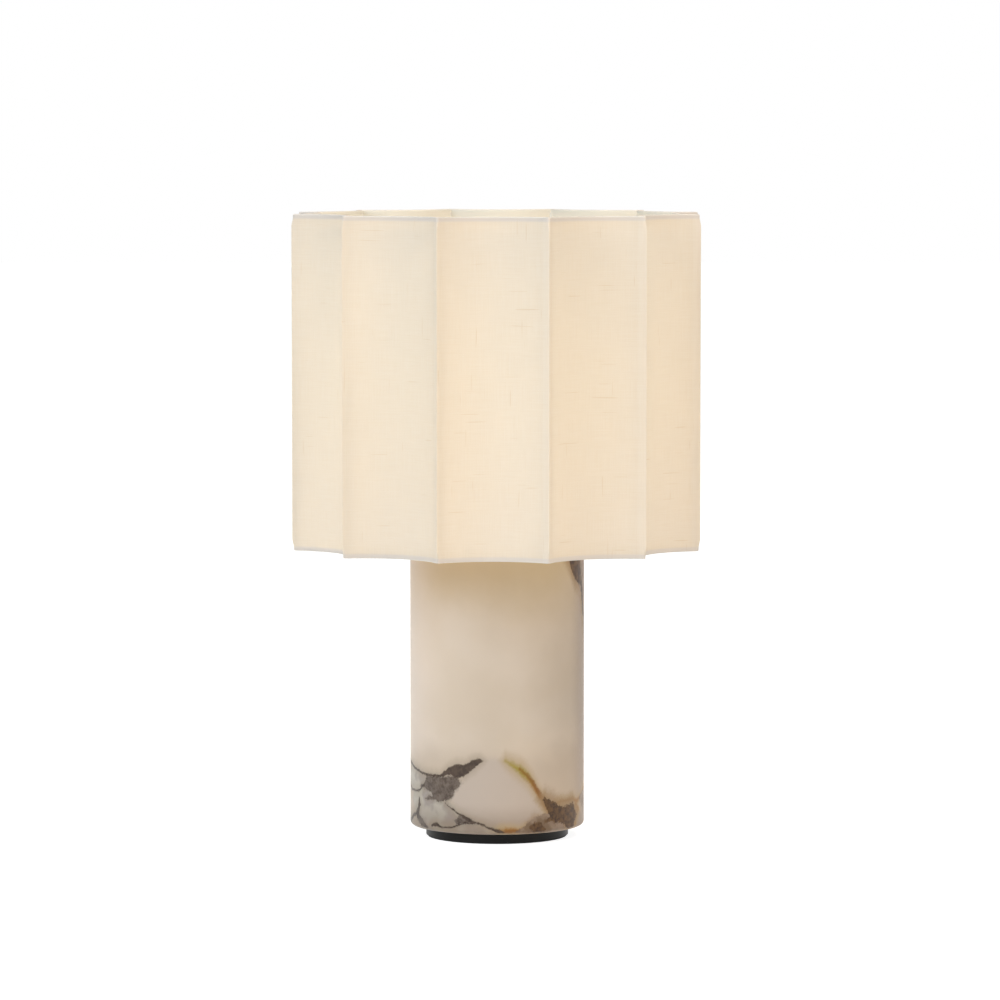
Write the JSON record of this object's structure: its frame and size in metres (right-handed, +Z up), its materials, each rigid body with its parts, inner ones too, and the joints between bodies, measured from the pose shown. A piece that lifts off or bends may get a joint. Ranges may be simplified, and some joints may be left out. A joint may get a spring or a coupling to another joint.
{
  "type": "table lamp",
  "caption": "Table lamp with a veined stone cylinder on a flat black foot and a drum shade of linen in concave flutes.",
  "frame": {"origin": "middle of the foot's underside, on the surface that the lamp stands on", "axes": "+Z up along the column, -Y to the front, +Y to the cord inlet, +X to the switch knob"},
  "size_m": [0.2566, 0.2566, 0.394],
  "materials": {
    "stone": "honed, veined",
    "foot_metal": "satin black",
    "pad_rubber": "matt",
    "tube_brass": "plain",
    "washer_steel": "zinc plated",
    "bush_plastic": "matt",
    "holder_plastic": "moulded",
    "block_ceramic": "unglazed",
    "contact_brass": "plain",
    "knob_plastic": "moulded",
    "opal_glass": "opal",
    "cap_metal": "bright",
    "linen": "slub weave",
    "frame_metal": "white",
    "ring_plastic": "moulded"
  },
  "bodies": {
    "base": {"stone_column": "stone", "foot_plate": "foot_metal", "foot_pad": "pad_rubber", "threaded_tube": "tube_brass", "tube_nuts": "tube_brass", "top_washer": "washer_steel", "cord_bush": "bush_plastic", "holder_cap": "holder_plastic", "holder_shell": "holder_plastic", "contact_block": "block_ceramic", "centre_contact": "contact_brass", "side_contact": "contact_brass"},
    "switch": {"switch_knob": "knob_plastic", "switch_spindle": "contact_brass"},
    "bulb": {"bulb_glass": "opal_glass", "bulb_cap": "cap_metal", "bulb_tip": "contact_brass"},
    "shade": {"linen_panels": "linen", "shade_rings": "frame_metal", "rib_strips": "frame_metal", "shade_spider": "frame_metal"},
    "ring_nut": {"shade_ring_nut": "ring_plastic"}
  },
  "joints": [
    {"name": "shade_turn", "type": "hinge", "parent": "base", "child": "shade", "pos_m": [0, 0, 0.217], "axis": [0, 0, 1], "continuous": true},
    {"name": "ring_nut_turn", "type": "hinge", "parent": "base", "child": "ring_nut", "pos_m": [0, 0, 0.2214], "axis": [0, 0, 1], "continuous": true},
    {"name": "bulb_turn", "type": "hinge", "parent": "base", "child": "bulb", "pos_m": [0, 0, 0.24], "axis": [0, 0, 1], "continuous": true},
    {"name": "switch_turn", "type": "hinge", "parent": "base", "child": "switch", "pos_m": [0.023, 0, 0.2035], "axis": [1, 0, 0], "continuous": true}
  ]
}
